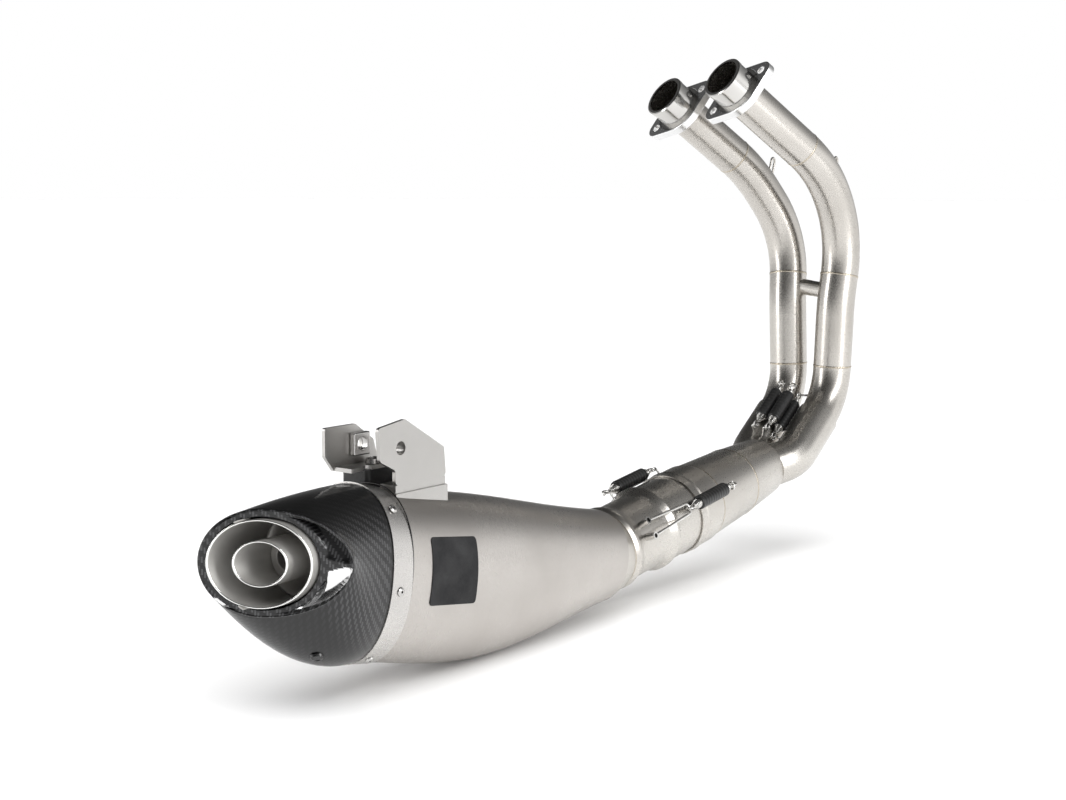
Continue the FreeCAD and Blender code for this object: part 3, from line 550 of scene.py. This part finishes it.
def skin_row(i):
    """Points from the body to the face, each as (place, cloth place, how much painted light the weave
    gets).
    """
    share = (i / CAP_ROWS) ** CAP_SPACING
    row = []
    for angle in CAP_ANGLES:
        point = cap_surface_point(share, angle)
        turn = angle if angle < math.pi else angle - 2 * math.pi
        # Painted light on the weave: full on the outboard flank, fading to painted shade towards the top
        # and the inboard side, and painted shade next to the end of the body.
        turned_from_light = smooth(abs(turn), WEAVE_LIT_UNTIL, WEAVE_SHADED_FROM)
        shown = 0.10 + 0.90 * (1 - turned_from_light) * smooth(share, 0.0, 0.1)
        row.append((point, ((BODY_ORIGIN - point).dot(REARWARD), turn * CAP_GIRTH_R), shown))
    return row


def face_row(i):
    """Points of the face from its outline in to the hole, with the rolled rim and the recess."""
    f = i / FACE_ROWS
    row = []
    for angle in CAP_ANGLES:
        edge_u, edge_w = face_outline(angle)
        hole_u, hole_w = CAP_HOLE_R * math.cos(angle), CAP_HOLE_R * math.sin(angle)
        u = edge_u + (hole_u - edge_u) * f
        w = edge_w + (hole_w - edge_w) * f
        width = math.hypot(edge_u - hole_u, edge_w - hole_w)
        rise = RIM_RISE * math.sin(math.pi * smooth(f * width, 0.0, RIM_ROLL))
        recess = smooth(f * width, RECESS_START, RECESS_END) * smooth(width, RECESS_NARROW, RECESS_WIDE)
        depth = recess * RECESS_DEPTH + pocket_depth(u, w) - rise
        row.append((face_point(u, w, depth), (u / math.cos(FACE_LEAN), w), 1.0))
    return row


def bore_row(depth):
    row = []
    for angle in CAP_ANGLES:
        u, w = CAP_HOLE_R * math.cos(angle), CAP_HOLE_R * math.sin(angle)
        # Painted shade: the weave in the bore gets only part of its painted light.
        row.append((face_point(u, w) - REARWARD * depth, (u + depth, w), 0.3))
    return row


def body_row():
    """Inner edge of the cap, inside the end of the body."""
    # Painted shade: the weave is near black inside the end of the body.
    return [(body_end_point(a, -2 * MM), (0, a * CAP_GIRTH_R), 0.1) for a in CAP_ANGLES]


def polish_lower_pocket(mesh):
    mesh.materials.append(FACET)
    first = CAP_ROWS * CAP_COLUMNS
    for polygon in mesh.polygons[first:first + FACE_ROWS * CAP_COLUMNS]:
        centre = polygon.center - OUTLET
        if centre.z < 0 and pocket_depth(-centre.y, centre.z) > POLISHED_DEPTH:
            polygon.material_index = 1


def close_seam(mesh):
    """Merge the first and last columns, which the cloth coordinates keep apart."""
    bm = bmesh.new()
    bm.from_mesh(mesh)
    bmesh.ops.remove_doubles(bm, verts=bm.verts, dist=0.01 * MM)
    bmesh.ops.recalc_face_normals(bm, faces=bm.faces)
    bm.to_mesh(mesh)
    bm.free()


def make_end_cap():
    """Carbon cap: skin from the body to the face, the recessed face, and the bore."""
    rows = [skin_row(i) for i in range(CAP_ROWS + 1)]
    rows += [face_row(i) for i in range(1, FACE_ROWS + 1)]
    rows += [bore_row(depth) for depth in BORE_DEPTHS]
    rows.append(body_row())
    points = [point for row in rows for point in row]
    faces = grid_faces(len(rows), len(CAP_ANGLES), close_columns=False)
    piece = mesh_piece("carbon_end_cap", [p[0] for p in points], faces, CARBON, "carbon_composite")
    mesh = piece.data
    # The second UV layer carries the painted light and shade on the weave.
    for name, values in (("weave", [p[1] for p in points]), ("painted_weave_light", [(p[2], p[2]) for p in points])):
        layer = mesh.uv_layers.new(name=name)
        for loop in mesh.loops:
            layer.data[loop.index].uv = values[loop.vertex_index]
    polish_lower_pocket(mesh)
    close_seam(mesh)
    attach(piece, "silencer")
    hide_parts("end_cap")


def make_band_seam():
    """Thin dark line in front of the riveted band: painted shade for the gap of the seam between sleeve and
    band.
    """
    loop = [body_end_point(2 * math.pi * k / 200, 0.35 * MM, BAND_START) for k in range(201)]
    # A dark tube laid in the seam as painted shade.
    mesh_piece("band_seam_shade", *swept_tube(loop, 0.45 * MM, 6), SCREW_BLACK_AND_SEAM_SHADE, "band_steel", "silencer")


# ---------------------------------------------------------------------------
# Outlet tubes
# ---------------------------------------------------------------------------

TIP_COLUMNS = 160
WALL_SHARES = (0.0, 0.25, 0.5, 0.75)
RIM_SECTION = ((0.0, 0.5), (0.12, 0.15), (0.5, 0.0), (0.88, 0.15), (1.0, 0.5))    # inwards, back, in walls


def slashed_tube(name, node, radius, stand_off, rear):
    """Thin tube cut by the leaning face, with a bright rounded rim."""
    vertices = []

    def add_ring(r, share, back):
        for j in range(TIP_COLUMNS):
            a = 2 * math.pi * j / TIP_COLUMNS
            u, w = r * math.cos(a), r * math.sin(a)
            end = stand_off / math.cos(FACE_LEAN) - u * math.tan(FACE_LEAN) - back
            s = rear + (end - rear) * share
            vertices.append(OUTLET + REARWARD * s + OUTBOARD * u + UP * w)

    rim_depth = TIP_WALL / 2
    for share in WALL_SHARES:
        add_ring(radius, share, rim_depth)
    for inwards, back in RIM_SECTION:
        add_ring(radius - TIP_WALL * inwards, 1.0, back * TIP_WALL)
    for share in reversed(WALL_SHARES):
        add_ring(radius - TIP_WALL, share, rim_depth)
    faces = grid_faces(len(vertices) // TIP_COLUMNS, TIP_COLUMNS, True)
    piece = mesh_piece(name, vertices, faces, TIP, "outlet_steel", "silencer")
    piece.data.materials.append(RIM)
    first = len(WALL_SHARES) * TIP_COLUMNS
    for polygon in piece.data.polygons[first:first + (len(RIM_SECTION) - 1) * TIP_COLUMNS]:
        polygon.material_index = 1
    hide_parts(node)


def make_dish():
    """Dished ring that closes the gap between the two tubes."""
    steps = 14
    bore = TIP_R - TIP_WALL
    front = []
    for k in range(steps + 1):
        share = k / steps
        front.append((DISH_AT - 12 * MM * smooth(share, 0, 1), bore + (INNER_TIP_R - bore) * share))
    back = [(s - TIP_WALL, radius) for s, radius in reversed(front)]
    shape = turned(OUTLET, REARWARD, front + back, 128)
    piece = mesh_piece("annulus_dish", *shape, TIP, "outlet_steel", "silencer")
    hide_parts("outlet_dish")


def make_insert():
    """Restrictor in the inner tube: a cup with a rounded lip and a narrow pipe behind it."""
    fit = INNER_TIP_R - TIP_WALL - 0.1 * MM
    at = INSERT_AT
    wall = 1.2 * MM
    lip = 0.6 * MM
    chamfer = 0.8 * MM
    cup = at - 8 * MM
    web = at - 2 * MM
    end = at - 22 * MM
    outline = []
    for a in (0, 0.5, 1.0, math.pi / 2):
        outline.append((at - lip + lip * math.sin(a), BORE_R + lip - lip * math.cos(a)))
    outline += [(at, fit - chamfer), (at - chamfer, fit), (cup, fit), (cup, fit - wall), (web, fit - wall),
                (web, BORE_R + wall), (end, BORE_R + wall), (end, BORE_R)]
    shape = turned(OUTLET, REARWARD, outline, 96)
    piece = mesh_piece("restrictor", *shape, TIP, "outlet_steel", "silencer", False)
    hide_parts("noise_insert")


def make_outlet():
    slashed_tube("outlet_outer_tip", "outlet_outer_tube", TIP_R, 2.6 * MM, -TIP_REACH)
    slashed_tube("outlet_inner_tip", "outlet_inner_tube", INNER_TIP_R, 2.0 * MM, -TIP_REACH - 12 * MM)
    make_dish()
    make_insert()


# ---------------------------------------------------------------------------
# Springs, each with close-wound turns, tapered ends and round eyes
# ---------------------------------------------------------------------------

def long_axis(points):
    """Centre, unit axis and half length of a long thin cloud of points."""
    cloud = np.array([tuple(p) for p in points])
    centre = (cloud.min(0) + cloud.max(0)) / 2
    axis = np.linalg.svd(cloud - cloud.mean(0), full_matrices=False)[2][0]
    along = (cloud - centre) @ axis
    middle = centre + axis * (along.max() + along.min()) / 2
    return Vector(middle), Vector(axis), float(along.max() - along.min()) / 2


def coil_path(centre, axis, coil_half, side, cross):
    per_turn = 14
    steps = int(2 * coil_half / WIRE_PITCH) * per_turn
    path = []
    for k in range(steps + 1):
        a = 2 * math.pi * k / per_turn
        s = -coil_half + 2 * coil_half * k / steps
        narrowed = 1 - smooth(coil_half - abs(s), 0, COIL_TAPER)
        radius = COIL_R - WIRE_R - (COIL_R - COIL_END_R) * narrowed
        path.append(centre + axis * s + (side * math.cos(a) + cross * math.sin(a)) * radius)
    return path


def eye_path(middle, axis, side, cross, start):
    steps = 31
    path = []
    for k in range(steps + 1):
        a = start + EYE_TURN * k / steps
        path.append(middle + (axis * math.cos(a) + side * math.sin(a)) * EYE_R + cross * 0.5 * MM)
    return path


def spring_parts(centre, axis, half, side):
    """Coil and two eyes, as (vertices, faces) parts."""
    coil_half = half - EYE_REACH - EYE_GAP
    cross = axis.cross(side)
    parts = [swept_tube(coil_path(centre, axis, coil_half, side, cross), WIRE_R, 6)]
    for end, start in ((1, math.radians(200)), (-1, math.radians(20))):
        middle = centre + axis * end * (coil_half + EYE_CENTRE)
        parts.append(swept_tube(eye_path(middle, axis, side, cross, start), EYE_WIRE_R, 8))
    return parts


def spring_side(axis):
    """Direction across the spring that its eyes lie in."""
    radial = OUTBOARD if abs(axis.x) > 0.97 else UP
    return (radial - axis * radial.dot(axis)).normalized()


def make_spring(node):
    centre, axis, half = long_axis([v.co for v in NODES[node].data.vertices])
    if axis.x > 0:
        axis = -axis
    parts = spring_parts(centre, axis, half, spring_side(axis))
    piece = mesh_piece(node + "_coil", *joined(parts), WIRE, "spring_wire")
    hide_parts(node)
    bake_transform(piece)
    return centre, axis, half


def sleeve_outline(length):
    """Rolled ends, and faint moulded rings between them."""
    steps = 60
    outline = []
    for k in range(steps + 1):
        s = -length / 2 + length * k / steps
        near_end = min(s + length / 2, length / 2 - s)
        radius = SLEEVE_R - SLEEVE_ROLL_DEPTH * (1 - smooth(near_end, 0, SLEEVE_ROLL))
        rings = SLEEVE_RING_HEIGHT * math.cos(2 * math.pi * s / SLEEVE_RING_PITCH)
        outline.append((s, radius + rings * smooth(near_end, 0, 4 * MM)))
    inside = COIL_R + 0.1 * MM
    mouth = length / 2 - 0.3 * MM
    return outline + [(mouth, inside), (-mouth, inside)]


def make_sleeves(node, springs, length):
    """Silicone sleeves over the coils, all in one piece."""
    outline = sleeve_outline(length)
    parts = [turned(centre, axis, outline, 40) for centre, axis, half in springs]
    piece = mesh_piece(node + "_rubber", *joined(parts), SILICONE, "silicone")
    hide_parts(node)
    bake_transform(piece)


def make_springs():
    for group, sides, length, upper_body, lower_body in (
            ("header", ("left", "middle", "right"), HEADER_SLEEVE, "headers", "collector"),
            ("silencer", ("outboard", "inboard"), SILENCER_SLEEVE, "collector", "silencer")):
        springs = [make_spring("%s_%s_spring" % (side, group)) for side in sides]
        make_sleeves(group + "_spring_sleeves", springs, length)


# ---------------------------------------------------------------------------
# Lights, floor and camera
# ---------------------------------------------------------------------------

EYE = Vector((-1.4464, -0.9096, -0.0811))
VIEW_HEADING = math.radians(37.0)
VIEW_DIP = math.radians(7.0)
LENS = 57.4                # millimetres, on a 36 mm wide sensor


def make_camera():
    data = bpy.data.cameras.new("camera")
    data.sensor_width = 36.0
    data.lens = LENS
    camera = bpy.data.objects.new("camera", data)
    bpy.context.scene.collection.objects.link(camera)
    level = math.cos(VIEW_DIP)
    look = Vector((math.cos(VIEW_HEADING) * level, math.sin(VIEW_HEADING) * level, -math.sin(VIEW_DIP)))
    camera.location = EYE
    camera.rotation_euler = look.to_track_quat("-Z", "Y").to_euler()
    bpy.context.scene.camera = camera


FLOOR_HALF = 60.0
FLOOR_GAP = 0.5 * MM


def make_floor():
    level = cad_bounds[0][2] - FLOOR_GAP
    corners = [(x * FLOOR_HALF, y * FLOOR_HALF, level) for x, y in ((-1, -1), (1, -1), (1, 1), (-1, 1))]
    mesh = bpy.data.meshes.new("floor")
    mesh.from_pydata(corners, [], [(0, 1, 2, 3)])
    s = Shader("pale_floor")
    s.set(Base_Color=s.blend(s.spread(s.noise(3.0), 0.0, 1.0), (0.97, 0.97, 0.97), (0.96, 0.96, 0.96)))
    s.set(Roughness=0.85, Specular_IOR_Level=0.0)
    mesh.materials.append(s.material)
    floor = bpy.data.objects.new("floor", mesh)
    bpy.context.scene.collection.objects.link(floor)


LIGHT_TARGET = Vector((-0.1, -0.08, -0.2))


def area_light(name, place, size, power):
    data = bpy.data.lights.new(name, "AREA")
    data.shape = "RECTANGLE"
    data.size, data.size_y = size
    data.energy = power
    lamp = bpy.data.objects.new(name, data)
    bpy.context.scene.collection.objects.link(lamp)
    lamp.location = place
    lamp.rotation_euler = (LIGHT_TARGET - Vector(place)).to_track_quat("-Z", "Y").to_euler()


# Brightness of the surroundings as (place, level) pairs; the first two are the ends of the ramp.
# UPRIGHT_LEVELS runs from below to overhead, AROUND_LEVELS from opposite the key direction to it.
UPRIGHT_LEVELS = ((0.0, 1.0), (1.0, 0.25), (0.58, 1.0), (0.70, 0.35), (0.85, 0.22))
AROUND_LEVELS = ((0.0, 0.75), (1.0, 1.25), (0.2, 0.16), (0.42, 0.2), (0.66, 0.62), (0.88, 1.2))
KEY_HEADING = math.radians(290)
KEY_DIRECTION = (math.cos(KEY_HEADING), math.sin(KEY_HEADING), 0)


def colour_ramp(tree, value, stops):
    ramp = tree.nodes.new("ShaderNodeValToRGB")
    tree.links.new(value, ramp.inputs[0])
    elements = ramp.color_ramp.elements
    for k, (position, level) in enumerate(stops):
        element = elements[k] if k < 2 else elements.new(position)
        element.position = position
        element.color = (level, level, level, 1)
    return ramp.outputs[0]


def make_world():
    """Studio seen in reflections: bright outboard, with dark flags on the other side and overhead."""
    world = bpy.data.worlds.new("studio")
    bpy.context.scene.world = world
    world.use_nodes = True
    tree = world.node_tree
    background = tree.nodes["Background"]
    place = tree.nodes.new("ShaderNodeTexCoord")
    split = tree.nodes.new("ShaderNodeSeparateXYZ")
    tree.links.new(place.outputs["Generated"], split.inputs[0])
    dot = tree.nodes.new("ShaderNodeVectorMath")
    dot.operation = "DOT_PRODUCT"
    tree.links.new(place.outputs["Generated"], dot.inputs[0])
    dot.inputs[1].default_value = KEY_DIRECTION
    maps = []
    for value in (split.outputs[2], dot.outputs["Value"]):
        lift = tree.nodes.new("ShaderNodeMapRange")
        tree.links.new(value, lift.inputs["Value"])
        lift.inputs["From Min"].default_value = -1.0
        maps.append(lift.outputs[0])
    upright = colour_ramp(tree, maps[0], UPRIGHT_LEVELS)
    around = colour_ramp(tree, maps[1], AROUND_LEVELS)
    mixed = tree.nodes.new("ShaderNodeMix")
    mixed.data_type = "RGBA"
    mixed.blend_type = "MULTIPLY"
    mixed.inputs[0].default_value = 1.0
    tree.links.new(upright, mixed.inputs[6])
    tree.links.new(around, mixed.inputs[7])
    seen = tree.nodes.new("ShaderNodeMix")
    seen.data_type = "RGBA"
    path = tree.nodes.new("ShaderNodeLightPath")
    tree.links.new(path.outputs["Is Camera Ray"], seen.inputs[0])
    tree.links.new(mixed.outputs[2], seen.inputs[6])
    seen.inputs[7].default_value = (1.0, 1.0, 1.0, 1.0)
    tree.links.new(seen.outputs[2], background.inputs[0])
    background.inputs[1].default_value = 1.0


def make_lights():
    data = bpy.data.lights.new("ceiling", "SUN")
    data.energy = 3.1
    data.angle = math.radians(70)
    lamp = bpy.data.objects.new("ceiling", data)
    bpy.context.scene.collection.objects.link(lamp)
    lamp.rotation_euler = (math.radians(12), math.radians(-18), 0)
    lamp.visible_glossy = False
    area_light("key_strip", (-0.2, -2.3, 0.5), (0.5, 2.2), 26)
    area_light("rear_strip", (-1.7, 1.4, 0.5), (0.35, 1.8), 14)


bpy.context.scene.view_settings.view_transform = "Standard"
dress_cad_nodes()
make_end_cap()
make_band_seam()
make_outlet()
make_springs()
make_welds()
make_world()
make_lights()
make_floor()
make_camera()
